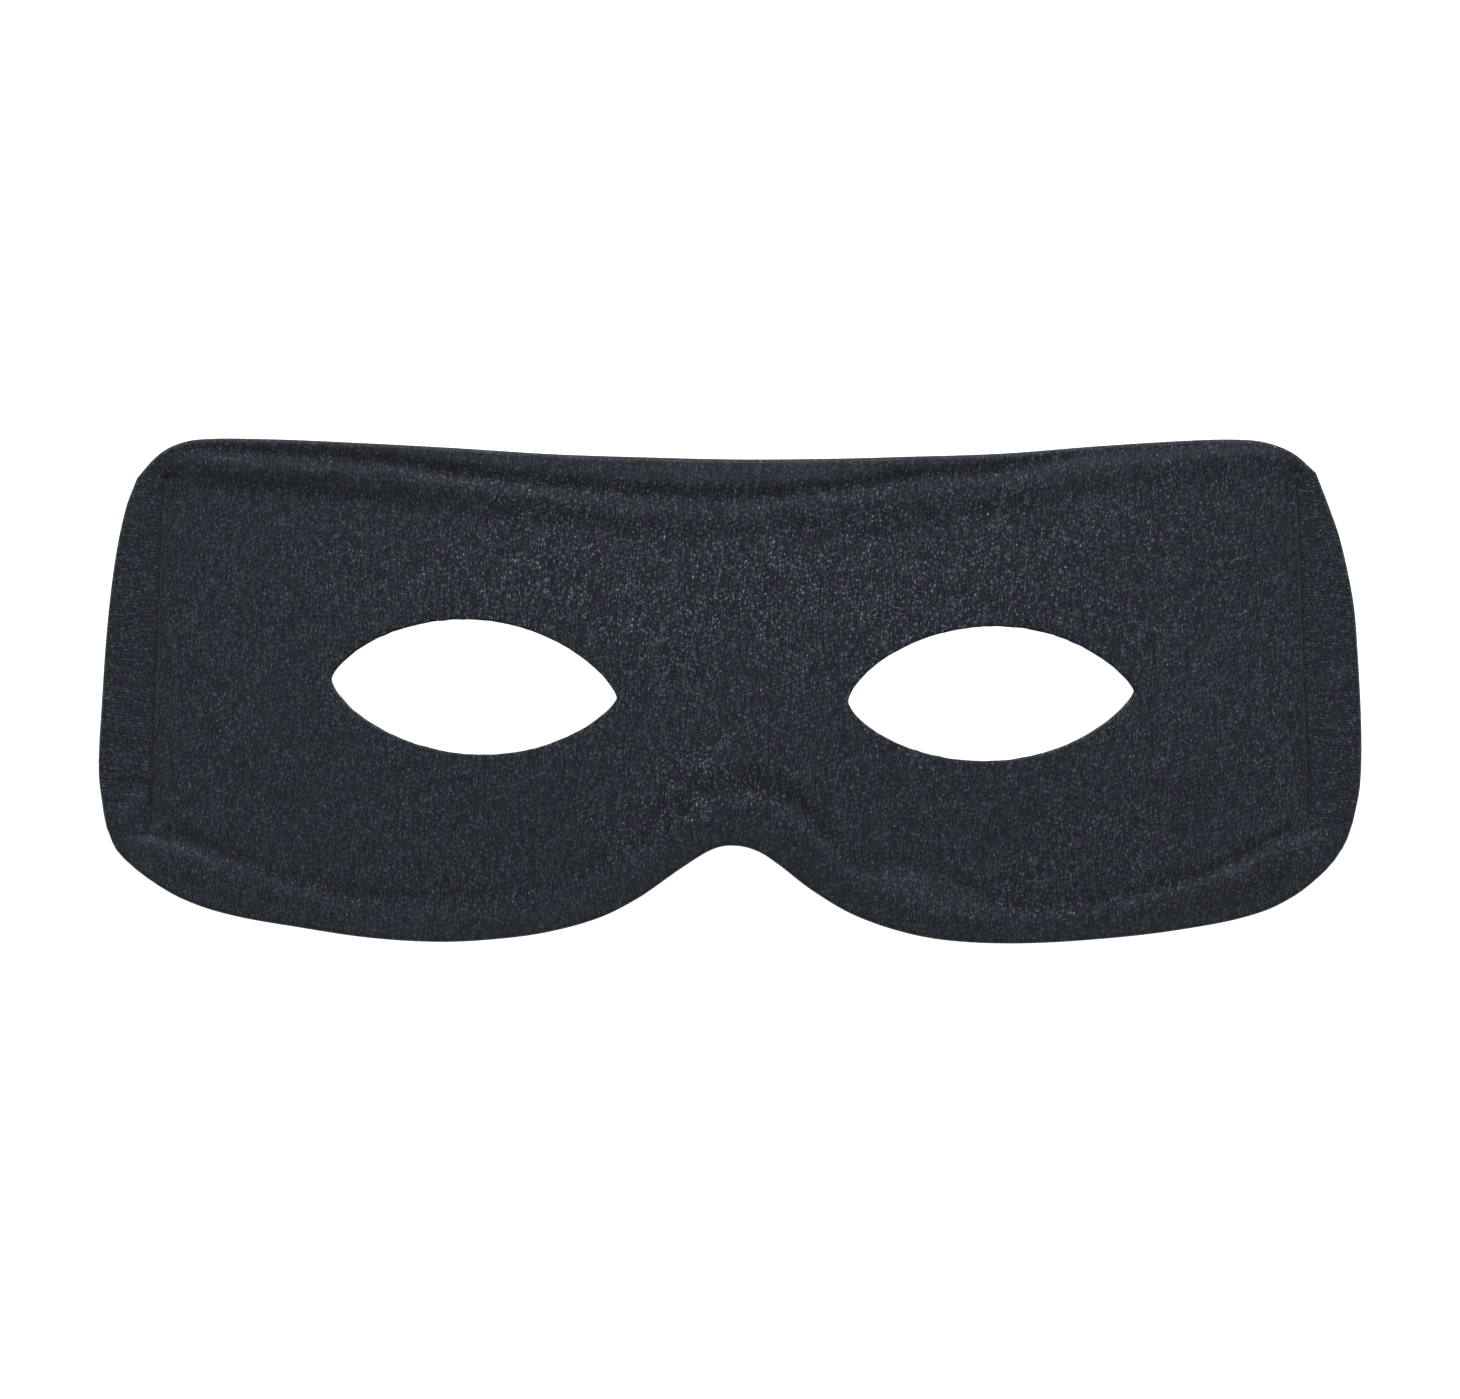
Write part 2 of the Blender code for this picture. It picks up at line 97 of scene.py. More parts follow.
# rise is how far the inner line lies above the edge, as a share of the cheek roll's width.
# bank is where the face starts to sink into the groove, bottom the groove's lowest line and
# crest the roll's highest, as places across the roll, with those on the face below 0.
# sink, lift and slump are the heights of the bank, of the roll above the groove's bottom
# and of its outer face, in millimetres.
CHEEK_COLUMNS = (
    "edge_x", "edge_y", "line_x", "rise", "bank", "bottom", "crest", "sink", "lift", "slump"
)
CHEEK_SECTIONS = (
    (-0.987, -0.547, -1.000, -0.11, -0.40, -0.15, 0.30, 0.17, 0.14, 0.11),
    (-0.969, -0.642, -0.985, 0.20, -0.42, -0.15, 0.30, 0.29, 0.30, 0.18),
    (-0.926, -0.738, -0.968, 0.52, -0.44, -0.16, 0.26, 0.44, 0.60, 0.20),
    (-0.871, -0.822, -0.944, 0.74, -0.45, -0.17, 0.25, 0.51, 0.74, 0.28),
    (-0.791, -0.889, -0.862, 0.83, -0.30, -0.05, 0.30, 0.34, 0.56, 0.26),
    (-0.678, -0.938, -0.740, 0.70, -0.24, 0.04, 0.42, 0.22, 0.44, 0.10),
    (-0.566, -0.977, -0.618, 0.66, -0.22, 0.08, 0.60, 0.25, 0.42, 0.00),
    (-0.455, -0.991, -0.498, 0.67, -0.25, 0.03, 0.68, 0.10, 0.46, 0.00),
    (-0.360, -0.977, -0.394, 0.68, -0.25, 0.05, 0.68, 0.08, 0.44, 0.00),
    (-0.282, -0.948, -0.315, 0.71, -0.20, 0.08, 0.70, 0.07, 0.42, 0.00),
    (-0.203, -0.891, -0.238, 0.80, -0.16, 0.10, 0.70, 0.06, 0.44, 0.00),
    (-0.141, -0.811, -0.177, 0.85, -0.15, 0.16, 0.70, 0.08, 0.46, 0.00),
    (-0.078, -0.700, -0.118, 0.86, -0.14, 0.20, 0.70, 0.21, 0.52, 0.00),
    (-0.028, -0.623, -0.054, 0.95, -0.17, 0.17, 0.62, 0.39, 0.60, 0.00),
    (0.008, -0.608, 0.010, 1.00, -0.20, 0.13, 0.54, 0.51, 0.68, 0.04),
    (0.044, -0.631, 0.067, 1.00, -0.24, 0.10, 0.42, 0.67, 0.74, 0.10),
    (0.078, -0.687, 0.112, 0.93, -0.32, 0.03, 0.37, 0.80, 0.76, 0.16),
    (0.125, -0.779, 0.157, 0.88, -0.25, 0.08, 0.38, 0.41, 0.56, 0.20),
    (0.188, -0.875, 0.212, 0.89, -0.12, 0.20, 0.50, 0.20, 0.54, 0.14),
    (0.266, -0.946, 0.289, 0.82, -0.50, -0.24, 0.50, 0.00, 1.44, 0.22),
    (0.345, -0.984, 0.376, 0.73, -0.50, -0.24, 0.56, 0.00, 1.24, 0.20),
    (0.455, -0.997, 0.493, 0.66, -0.20, 0.16, 0.60, 0.06, 0.52, 0.12),
    (0.582, -0.982, 0.623, 0.68, -0.14, 0.15, 0.52, 0.16, 0.42, 0.20),
    (0.702, -0.951, 0.742, 0.73, -0.16, 0.14, 0.33, 0.39, 0.39, 0.55),
    (0.823, -0.894, 0.873, 0.85, -0.17, 0.03, 0.26, 0.48, 0.51, 1.00),
    (0.895, -0.814, 0.951, 0.78, -0.34, -0.14, 0.22, 0.41, 0.51, 0.92),
    (0.950, -0.698, 0.984, 0.47, -0.34, -0.14, 0.26, 0.29, 0.32, 0.57),
    (0.974, -0.610, 0.992, 0.17, -0.34, -0.14, 0.30, 0.17, 0.16, 0.30),
    (0.987, -0.520, 1.000, -0.15, -0.34, -0.14, 0.30, 0.11, 0.09, 0.11),
)

# The outer edges of the side hems, from the brow roll down to the cheek roll.
HEM_COLUMNS = ("edge_x", "edge_y")
LEFT_HEM_SECTIONS = (
    (-0.939, 0.849),
    (-0.957, 0.729),
    (-0.974, 0.523),
    (-0.987, 0.244),
    (-0.995, -0.056),
    (-1.000, -0.316),
    (-0.993, -0.470),
    (-0.987, -0.547),
)
RIGHT_HEM_SECTIONS = (
    (0.928, 0.870),
    (0.950, 0.727),
    (0.967, 0.600),
    (0.987, 0.362),
    (0.994, 0.163),
    (1.000, -0.156),
    (0.998, -0.375),
    (0.987, -0.520),
)

# centre_x is a share of half the eye spacing, centre_y of the half height, tilt in degrees.
# upper is the share of the eye's height above the line through its corners.
# From the middle the height falls as (1 - share ** 2) to the power blunt_left or blunt_right.
EYE_COLUMNS = ("name", "centre_x", "centre_y", "tilt", "upper", "blunt_left", "blunt_right")
EYES = (
    ("left_eye", -0.990, 0.010, -3.8, 0.51, 0.69, 0.75),
    ("right_eye", 1.010, -0.021, 2.1, 0.52, 0.67, 0.77),
)

# What the cloth's points carry besides their places.
CLOTH_LAYERS = ("grain_u", "grain_v", "front_z", "back_z", "painted_groove_shade", "nap_and_sheen")

# How finely the cloth is divided.
COLUMN_STEP = 0.00065
EYE_COLUMNS_COUNT = 84
SEAM_COLUMN_SHARES = (0.0014, 0.0028, 0.0044, 0.0064, 0.0092, 0.0134, 0.0192, 0.0260)
ROWS_BELOW = 36
ROWS_ABOVE = 38
ACROSS = 26

# Relief of the front.
SEAM_WIDTH = 0.00027
SEAM_DEPTH = 0.0007
SEAM_WANDER = 0.00014
SEAM_WANDER_SIZE = 0.0016
THREAD_PULL_SIZE = 0.0034
SEAM_FADE = 0.0022
SEAM_END_LENGTH = 0.0060
SEAM_END_WIDTH = 0.0005
SEAM_END_SHADE = 0.5
EYE_ROUND_WIDTH = 0.0004
EYE_ROUND_DEPTH = 0.00010
EYE_RAGGED = 0.00009
EYE_RAGGED_SIZE = 0.0011
EDGE_ROUND = 0.0006
EDGE_DROP = 0.0009
EDGE_LIFT = 0.0007
BENT_OPEN = 0.35
BENT_REACH = 0.16
CREASE_REACH = 0.15
CREASE_WOBBLE = 0.03
CREASE_WOBBLE_SIZE = 0.004
STITCH_PITCH = 0.0028
OUTER_END = 0.86
CORNER_FADE = 0.0050
END_FADE = 0.0040
HEM_END_FADE = 0.006
SHOULDER_WIDTH = 0.0040
SHOULDER_DROP = 0.0010
NARROWEST_ROLL = 0.0045
UNEVEN_SIZE = 0.021
UNEVEN_HEIGHT = 0.00022
MERGE_DISTANCE = 1e-6

# How strongly the cheek roll's upper line runs on under the lower end of the left and
# right hem: only on the right one. There it is sunk and darkened with painted shade.
TUCK = {-1: 0.0, 1: 0.75}
TUCK_WIDTH = 0.0005
TUCK_DEPTH = 0.0004

# Dents and, below 0, bumps of the cloth: place, radius and depth.
HEM_DENTS = (
    (-0.0889, -0.0145, 0.0014, 0.00060),
    (-0.0905, -0.0118, 0.0018, -0.00025),
    (-0.0932, -0.0040, 0.0038, -0.00030),
    (-0.0915, -0.0195, 0.0022, -0.00030),
    (0.0905, -0.0060, 0.0040, -0.00012),
)
FACE_DENTS = (
    (0.0012, -0.0128, 0.0048, -0.00034),
    (0.0000, -0.0110, 0.0130, 0.00080),
    (0.0190, -0.0255, 0.0050, -0.00020),
    (0.0700, 0.0090, 0.0080, 0.00030),
)

# Stitches of the side seams.
THREAD_RADIUS = 0.00012
STITCH_LENGTH = 0.0026
STITCH_SLANT = 5.0

# Where the knit's loops stand open and where sheen and glints are painted into its colour,
# on a scale of 0 to 1: a little all over, more towards the right, and most in the middle
# of the brow and above the nose.
PLAIN_NAP = 0.30
RAISED_NAP_AND_SHEEN = 0.62
RIGHT_NAP = 0.12
PATCHY_NAP = 0.25
NAP_PATCH_SIZE = 0.011
BROW_NAP_Y = 0.015
BROW_NAP_REACH_X = 0.062
BROW_NAP_REACH_Y = 0.015
NOSE_NAP_AND_SHEEN = 0.8
NOSE_NAP_Y = -0.012
NOSE_NAP_REACH_X = 0.014
NOSE_NAP_REACH_Y = 0.008

# Knit, measured on the photo at this size.
WALE = 0.000938
COURSE = 0.000841
WALE_SHIFT = 0.43
GRAIN_TILT = 4.8
FILAMENTS_PER_METRE = 5600.0
PATCHES_PER_METRE = 330.0

# How strongly each part of the knit changes the light it throws back, as a power of e.
BOW_LIGHT = 0.45
RIDGE_LIGHT = 0.30
BUNDLE_LIGHT = 2.0
FILAMENT_LIGHT = 2.6

# Dyed colours: a loop's filaments, the hems' a little darker, and the gaps between them.
LOOP_COLOUR = "#5a5d61"
HEM_LOOP_COLOUR = "#54575b"
GAP_COLOUR = "#080c12"

# Studio lights, which face the middle of the mask.
LIGHT_COLUMNS = ("name", "place", "size", "power")
LIGHTS = (
    ("key", (0.03, 1.05, 0.70), 0.45, 18.0),
    ("fill", (0.0, -0.75, 1.00), 0.9, 3.2),
)
ROOM_LIGHT = 0.12
FLOOR_SIZE = 4.0
FLOOR_GAP = 0.0002

# The photo is 1460 pixels wide, and one pixel is 0.1505 mm at the mask's mean height.
# The mask's middle lies in row 691, and the photo's own in row 699.5.
PIXEL = 0.0001505
PHOTO_WIDTH = 1460
MASK_ROW = 691.0
MIDDLE_ROW = 699.5
MEAN_HEIGHT = 0.0012
CAMERA_DISTANCE = 1.0


def mix(start, end, share):
    return start + (end - start) * share


def ease(share):
    share = min(max(share, 0.0), 1.0)
    return share * share * (3 - 2 * share)


def named_rows(columns, sections):
    return [dict(zip(columns, section)) for section in sections]


def smooth_value(places, values, place):
    """A smooth line through the values, read at one place."""
    last = len(places) - 1
    index = 0
    while index < last - 1 and place > places[index + 1]:
        index += 1

    def slope(at):
        before = max(at - 1, 0)
        after = min(at + 1, last)
        return (values[after] - values[before]) / (places[after] - places[before])

    span = places[index + 1] - places[index]
    share = min(max((place - places[index]) / span, 0.0), 1.0)
    squared = share * share
    cubed = squared * share
    return (
        (2 * cubed - 3 * squared + 1) * values[index]
        + (cubed - 2 * squared + share) * span * slope(index)
        + (3 * squared - 2 * cubed) * values[index + 1]
        + (cubed - squared) * span * slope(index + 1)
    )


def seam_x(y):
    """The side seam's distance from the middle at this height."""
    return HALF_WIDTH - HEM_WIDTH - SEAM_LEAN * y / HALF_HEIGHT


def back_height(x, y):
    """The back of the pad: an arch between the side seams, lower at the brow and cheeks."""
    span = seam_x(y)
    inside = max(1 - (x / span) ** 2, 0.0) ** ARCH_POWER
    crown = CROWN_DROP * (y / HALF_HEIGHT) ** 2
    from_nose = math.hypot(x, y - NOSE_CENTRE_Y) / NOSE_RADIUS
    return (ARCH_RISE - crown) * inside + NOSE_LIFT * math.exp(-from_nose * from_nose) * inside


def uneven(x, y):
    """The slight unevenness of hand-guided padding."""
    spot = Vector((x, y, 0.0)) / UNEVEN_SIZE
    return UNEVEN_HEIGHT * noise.noise(spot)


def dent_depth(x, y, dents):
    """How far these dents press the cloth in here, below 0 where it bulges."""
    depth = 0.0
    for dent_x, dent_y, radius, deepest in dents:
        reach = math.hypot(x - dent_x, y - dent_y) / radius
        depth += deepest * math.exp(-reach * reach)
    return depth


def section_at(rows, place):
    """The roll's section that starts at this share of the pad's half width."""
    places = [row["line_x"] for row in rows]
    found = {
        column: smooth_value(places, [row[column] for row in rows], place)
        for column in rows[0]
    }
    found["edge_x"] *= HALF_WIDTH
    found["edge_y"] *= HALF_HEIGHT
    return found


def eye_outline(eye, share):
    """Lower and upper lid points at a share of the eye's length, from its left corner."""
    across = mix(-1.0, 1.0, share)
    blunt = eye["blunt_left"] if across < 0 else eye["blunt_right"]
    fall = EYE_HEIGHT * max(1 - across * across, 0.0) ** blunt
    turn = math.radians(eye["tilt"])
    centre_x = eye["centre_x"] * EYE_SPACING / 2
    centre_y = eye["centre_y"] * HALF_HEIGHT
    lids = []
    for reach in (eye["upper"] - 1, eye["upper"]):
        x = across * EYE_LENGTH / 2
        ragged = noise.noise(Vector((x / EYE_RAGGED_SIZE, reach * 9, centre_x * 50)))
        y = reach * fall + EYE_RAGGED * ragged * ease(fall / EYE_HEIGHT * 4)
        lids.append((
            centre_x + x * math.cos(turn) - y * math.sin(turn),
            centre_y + x * math.sin(turn) + y * math.cos(turn),
        ))
    return lids


def eye_corner_shares(eye):
    """The eye's two corners as shares of the pad's half width."""
    return [
        eye_outline(eye, share)[0][0] / seam_x(eye_outline(eye, share)[0][1])
        for share in (0.0, 1.0)
    ]


def middle_line(eyes):
    """The line from seam to seam through the corners of both eyes."""
    places = [-1.0]
    heights = [eye_outline(eyes[0], 0.0)[0][1]]
    for eye in eyes:
        for share, corner in zip((0.0, 1.0), eye_corner_shares(eye)):
            places.append(corner)
            heights.append(eye_outline(eye, share)[0][1])
    places.append(1.0)
    heights.append(heights[-1])
    return places, heights


def column_places(eyes):
    """Where the cloth's columns lie, as shares of the pad's half width, with each one's eye."""
    corners = [eye_corner_shares(eye) for eye in eyes]
    step = COLUMN_STEP / (HALF_WIDTH - HEM_WIDTH)
    left_edge = -1.0 + SEAM_COLUMN_SHARES[-1]
    columns = [(-1.0, None, 0.0)]
    columns += [(-1.0 + share, None, 0.0) for share in SEAM_COLUMN_SHARES]

    def plain(start, end):
        count = max(round((end - start) / step), 1)
        return [(mix(start, end, index / count), None, 0.0) for index in range(1, count)]

    def over_eye(number, start, end):
        found = []
        for index in range(EYE_COLUMNS_COUNT + 1):
            even = index / EYE_COLUMNS_COUNT
            share = mix(even, 0.5 - 0.5 * math.cos(math.pi * even), 0.85)
            found.append((mix(start, end, share), number, share))
        return found

    columns += plain(left_edge, corners[0][0])
    columns += over_eye(0, *corners[0])
    columns += plain(corners[0][1], corners[1][0])
    columns += over_eye(1, *corners[1])
    columns += plain(corners[1][1], -left_edge)
    columns += [(1.0 - share, None, 0.0) for share in reversed(SEAM_COLUMN_SHARES)]
    columns.append((1.0, None, 0.0))
    return columns


def roll_share(row):
    """Places across a roll or hem, closer together towards its line and its edge."""
    even = row / ACROSS
    return mix(even, 0.5 - 0.5 * math.cos(math.pi * even), 0.7)


def edge_turn(share, width):
    """How far the cloth has turned round the outer edge here, from 0 on top to 1 at the edge."""
    out = min(max(1 - (1 - share) * width / EDGE_ROUND, 0.0), 1.0)
    return 1 - math.sqrt(1 - out * out)


def end_blend(place):
    """0 at the seams and 1 a little way in, for what fades out at the corners."""
    return ease((1 - abs(place)) * (HALF_WIDTH - HEM_WIDTH) / END_FADE)


def corner_height(share):
    """Front height at the mask's corners, where roll and hem run together."""
    return HEM_THICKNESS * (1.0 + 0.10 * math.sin(math.pi * min(max(share, 0.0), 1.0)))


def brow_relief(section, share):
    """Height above the plain face, in millimetres: band, crest, valley and lip."""
    crest = section["crest"]
    valley = section["valley"]
    foot = section["foot"]
    band = section["swell"] * ease((share - foot) / (crest - foot))
    valley_side = section["dip"] * ease((share - crest) / (valley - crest))
    lip_side = section["step"] * ease((share - valley) / (section["lip"] - valley))
    return band - valley_side + lip_side


def cheek_relief(section, share):
    """Height above the plain face, in millimetres: bank, groove, crest and outer face."""
    bank = section["bank"]
    bottom = section["bottom"]
    crest = section["crest"]
    down = section["sink"] * ease((share - bank) / (bottom - bank))
    up = section["lift"] * ease((share - bottom) / (crest - bottom))
    outer = section["slump"] * ease((share - crest) / (OUTER_END - crest))
    return up - down - outer


def relief_height(section, relief, share, from_line=0.0):
    """Front height at a place across a roll, or on the face beside it where share is below 0."""
    blend = end_blend(section["line_x"])
    corner = (corner_height(share) - FACE_THICKNESS) * math.exp(-from_line / CORNER_FADE)
    spot = Vector((section["edge_x"], 0.0, share * CREASE_WOBBLE_SIZE))
    wobble = CREASE_WOBBLE * noise.noise(spot / CREASE_WOBBLE_SIZE)
    return corner * (1 - blend) + relief(section, share + wobble) / 1000 * blend


def needle_pull(y):
    """How hard the seam's thread pulls the cloth down here, most at each needle hole."""
    loose = 0.30 * noise.noise(Vector((0.7, y, 0.0)) / THREAD_PULL_SIZE)
    return 0.86 + 0.14 * math.cos(2 * math.pi * y / STITCH_PITCH) + loose


def seam_shape(x, y, top_y, bottom_y):
    """1 at the bottom of the stitched seam's groove, falling to 0 beside it."""
    fade = ease(min(top_y - y, y - bottom_y) / SEAM_FADE)
    wander = SEAM_WANDER * noise.noise(Vector((0.0, y, x * 3)) / SEAM_WANDER_SIZE)
    spread = (abs(x) - seam_x(y) + wander) / SEAM_WIDTH
    return fade * math.exp(-spread * spread)


def seam_end(x, y, line_y):
    """A faint line of painted shade under the foot of the left seam, where the hem's cloth runs
    on.
    """
    if x > 0 or y > 0 or y < line_y - SEAM_END_LENGTH:
        return 0.0
    spread = (abs(x) - seam_x(y)) / SEAM_END_WIDTH
    return SEAM_END_SHADE * math.exp(-spread * spread) * ease((y - line_y) / SEAM_END_LENGTH + 1)


def nap_and_sheen(x, y):
    """How open the knit's loops stand and how much sheen is painted in: most in the middle of the
    brow and on the nose.
    """
    brow_x = (x / BROW_NAP_REACH_X) ** 4
    brow_y = ((y - BROW_NAP_Y) / BROW_NAP_REACH_Y) ** 2
    nose_x = (x / NOSE_NAP_REACH_X) ** 2
    nose_y = ((y - NOSE_NAP_Y) / NOSE_NAP_REACH_Y) ** 2
    raised = max(math.exp(-brow_x - brow_y), NOSE_NAP_AND_SHEEN * math.exp(-nose_x - nose_y))
    patchy = PATCHY_NAP * noise.noise(Vector((x, y, 0.3)) / NAP_PATCH_SIZE)
    side = RIGHT_NAP * x / HALF_WIDTH
    return min(max(PLAIN_NAP + side + RAISED_NAP_AND_SHEEN * raised + patchy, 0.0), 1.0)


class Spot:
    """One point of the cloth in plan, with its front height above the back of the pad."""

    def __init__(self, x, y, thickness, turned=0.0, lift=0.0, grain=None, painted_groove_shade=0.0, nap_and_sheen=0.5):
        self.x = x
        self.y = y
        self.back = max(back_height(x, y) - turned, 0.0)
        self.front = back_height(x, y) + thickness
        self.back += lift
        self.grain = grain or (x, y)
        self.painted_groove_shade = painted_groove_shade
        self.nap_and_sheen = nap_and_sheen


def arc_length(x):
    """Distance along the arch from the middle, so that the knit isn't stretched by it."""
    steps = 24
    total = 0.0
    for index in range(steps):
        near = x * index / steps
        far = x * (index + 1) / steps
        rise = back_height(far, 0.0) - back_height(near, 0.0)
        total += math.hypot(far - near, rise)
    return math.copysign(total, x)


def roll_spots(section, line_point, relief, grain_x):
    """The spots across one section of a roll, from the pad's line to the edge."""
    line_x, line_y = line_point
    width = math.hypot(section["edge_x"] - line_x, section["edge_y"] - line_y)
    way_x = (section["edge_x"] - line_x) / width
    way_y = (section["edge_y"] - line_y) / width
    spots = []
    walked = 0.0
    before = None
    for row in range(ACROSS + 1):
        share = roll_share(row)
        x = mix(line_x, section["edge_x"], share)
        y = mix(line_y, section["edge_y"], share)
        turn = edge_turn(share, width)
        full = FACE_THICKNESS + relief_height(section, relief, share)
        thickness = full - EDGE_DROP * turn
        if before:
            walked += math.hypot(math.hypot(x - before[0], y - before[1]), thickness - before[2])
        before = (x, y, thickness)
        turned = TURN_THICKNESS * math.sin(math.pi * share)
        lift = EDGE_LIFT * turn
        grain = (grain_x + way_x * walked, line_y + way_y * walked)
        # Fewer open loops and less painted sheen towards the roll's outer face.
        open_loops_and_sheen = nap_and_sheen(x, y) * mix(1.0, 0.15, ease((share - 0.45) / 0.35))
        open_loops_and_sheen += bent_loops(section, share)
        level = thickness + uneven(x, y) - dent_depth(x, y, FACE_DENTS)
        painted_groove_shade = max(painted_crease_shade(section, share), seam_end(x, y, line_y))
        spots.append(Spot(x, y, level, turned, lift, grain, painted_groove_shade, open_loops_and_sheen))
    return spots


def bent_loops(section, share):
    """How much the loops open where the cloth bends into the roll's groove or crease."""
    place = section["bottom"] if "bottom" in section else section["valley"] + 0.08
    return BENT_OPEN * math.exp(-(((share - place) / BENT_REACH) ** 2))


def painted_crease_shade(section, share):
    """0 to 1: how much shade is painted into the colour where the roll's crease or groove closes
    over the cloth.
    """
    if "bottom" in section:
        place = section["bottom"] - 0.03
        depth = 0.5 * (section["sink"] + section["lift"] * 0.4)
    else:
        place = (section["valley"] + section["lip"]) / 2
        depth = 0.7 * section["step"]
    closed = min(max(depth, 0.0), 1.0) * end_blend(section["line_x"])
    return closed * math.exp(-(((share - place) / CREASE_REACH) ** 2))


def grid_cells(body, columns, rows):
    """Adds a flat grid to the body and gives its points by column and row."""
    made = bmesh.ops.create_grid(body, x_segments=columns, y_segments=rows, size=1.0)
    return {
        (round((v.co.x + 1) / 2 * columns), round((v.co.y + 1) / 2 * rows)): v
        for v in made["verts"]
    }


def open_eyes(body, cells, columns):
    """Slits the grid along the middle row over each eye and gives the points by lid."""
    slit = []
    for index in range(len(columns) - 1):
        if columns[index][1] is not None and columns[index][1] == columns[index + 1][1]:
            first = cells[index, ROWS_BELOW]
            second = cells[index + 1, ROWS_BELOW]
            slit.append(next(e for e in first.link_edges if e.other_vert(first) is second))
    middle = cells[0, ROWS_BELOW].co.y
    split = bmesh.ops.split_edges(body, edges=slit)
    count = len(columns) - 1
    lids = {}
    for edge in split["edges"]:
        for vert in edge.verts:
            column = round((vert.co.x + 1) / 2 * count)
            above = vert.link_faces[0].calc_center_median().y > middle
            lids.setdefault(column, {})[above] = vert
    return lids


def build_cloth():
    """The whole cover as one cloth, front and back, closed round its edge and its eyes."""
    eyes = named_rows(EYE_COLUMNS, EYES)
    brow_rows = named_rows(BROW_COLUMNS, BROW_SECTIONS)
    cheek_rows = named_rows(CHEEK_COLUMNS, CHEEK_SECTIONS)
    columns = column_places(eyes)
    line_places, line_heights = middle_line(eyes)
    body = bmesh.new()
    for name in CLOTH_LAYERS:
        body.verts.layers.float.new(name)
    spots = {}
    zones = {}

    brow = []
    cheek = []
    for place, number, share in columns:
        upper = section_at(brow_rows, place)
        upper["line_y"] = upper["edge_y"] - upper["drop"] * BROW_ROLL_WIDTH
        upper["line_x"] = place
        lower = section_at(cheek_rows, place)
        lower["line_y"] = lower["edge_y"] + lower["rise"] * CHEEK_ROLL_WIDTH
        lower["line_x"] = place
        brow.append(upper)
        cheek.append(lower)

    # The face of the pad, from the cheek line up to the brow line.
    last = len(columns) - 1
    rows = ROWS_BELOW + ROWS_ABOVE
    cells = grid_cells(body, last, rows)
    lids = open_eyes(body, cells, columns)
    face_verts = set(v for v in body.verts)
    side_rows = {-1: {}, 1: {}}
    for vert in face_verts:
        index = round((vert.co.x + 1) / 2 * last)
        row = round((vert.co.y + 1) / 2 * rows)
        place, number, share = columns[index]
        top_y = brow[index]["line_y"]
        bottom_y = cheek[index]["line_y"]
        middle_y = smooth_value(line_places, line_heights, place)
        lower_point = upper_point = (place * seam_x(middle_y), middle_y)
        if number is not None:
            lower_point, upper_point = eye_outline(eyes[number], share)
        if row == ROWS_BELOW:
            above = index in lids and lids[index].get(True) is vert
            x, y = upper_point if above else lower_point
        elif row < ROWS_BELOW:
            up = row / ROWS_BELOW
            up = mix(up, ease(up), 0.5)
            x = mix(place * seam_x(bottom_y), lower_point[0], up)
            y = mix(bottom_y, lower_point[1], up)
        else:
            up = (row - ROWS_BELOW) / ROWS_ABOVE
            up = mix(up, ease(up), 0.5)
            x = mix(upper_point[0], place * seam_x(top_y), up)
            y = mix(upper_point[1], top_y, up)
        thickness = face_thickness(x, y, place, brow[index], cheek[index], eyes)
        # Painted shade along the side seam and beside the rolls' creases and grooves.
        painted_groove_shade = seam_shape(x, y, top_y, bottom_y)
        for section, from_line in ((brow[index], top_y - y), (cheek[index], y - bottom_y)):
            width = max(abs(section["edge_y"] - section["line_y"]), NARROWEST_ROLL)
            painted_groove_shade = max(painted_groove_shade, painted_crease_shade(section, -from_line / width))
        spots[vert] = Spot(
            x, y, thickness, grain=(arc_length(x), y), painted_groove_shade=painted_groove_shade, nap_and_sheen=nap_and_sheen(x, y)
        )
        zones[vert] = 0
        if index in (0, last):
            side_rows[-1 if index == 0 else 1][row] = (x, y)

    # The two rolls.
    for sections, relief in ((brow, brow_relief), (cheek, cheek_relief)):
        cells = grid_cells(body, last, ACROSS)
        for index, section in enumerate(sections):
            place = columns[index][0]
            line_point = (place * seam_x(section["line_y"]), section["line_y"])
            found = roll_spots(section, line_point, relief, arc_length(line_point[0]))
            for row in range(ACROSS + 1):
                vert = cells[index, row]
                spots[vert] = found[row]
                zones[vert] = 1

    # The two side hems, from the seam out to the edge.
    for side, table in ((-1, LEFT_HEM_SECTIONS), (1, RIGHT_HEM_SECTIONS)):
        hem_rows = named_rows(HEM_COLUMNS, table)
        lengths = [0.0]
        for first, second in zip(hem_rows, hem_rows[1:]):
            step_x = (second["edge_x"] - first["edge_x"]) * HALF_WIDTH
            step_y = (second["edge_y"] - first["edge_y"]) * HALF_HEIGHT
            lengths.append(lengths[-1] + math.hypot(step_x, step_y))
        cells = grid_cells(body, ACROSS, rows)
        top_y = side_rows[side][rows][1]
        bottom_y = side_rows[side][0][1]
        for row in range(rows + 1):
            line_x, line_y = side_rows[side][row]
            along = lengths[-1] * (top_y - line_y) / (top_y - bottom_y)
            edge_x = smooth_value(lengths, [r["edge_x"] for r in hem_rows], along) * HALF_WIDTH
            edge_y = smooth_value(lengths, [r["edge_y"] for r in hem_rows], along) * HALF_HEIGHT
            found = hem_spots(side, (line_x, line_y), (edge_x, edge_y), top_y, bottom_y)
            for column in range(ACROSS + 1):
                vert = cells[column, row]
                spots[vert] = found[column]
                zones[vert] = 2
    return body, spots, zones


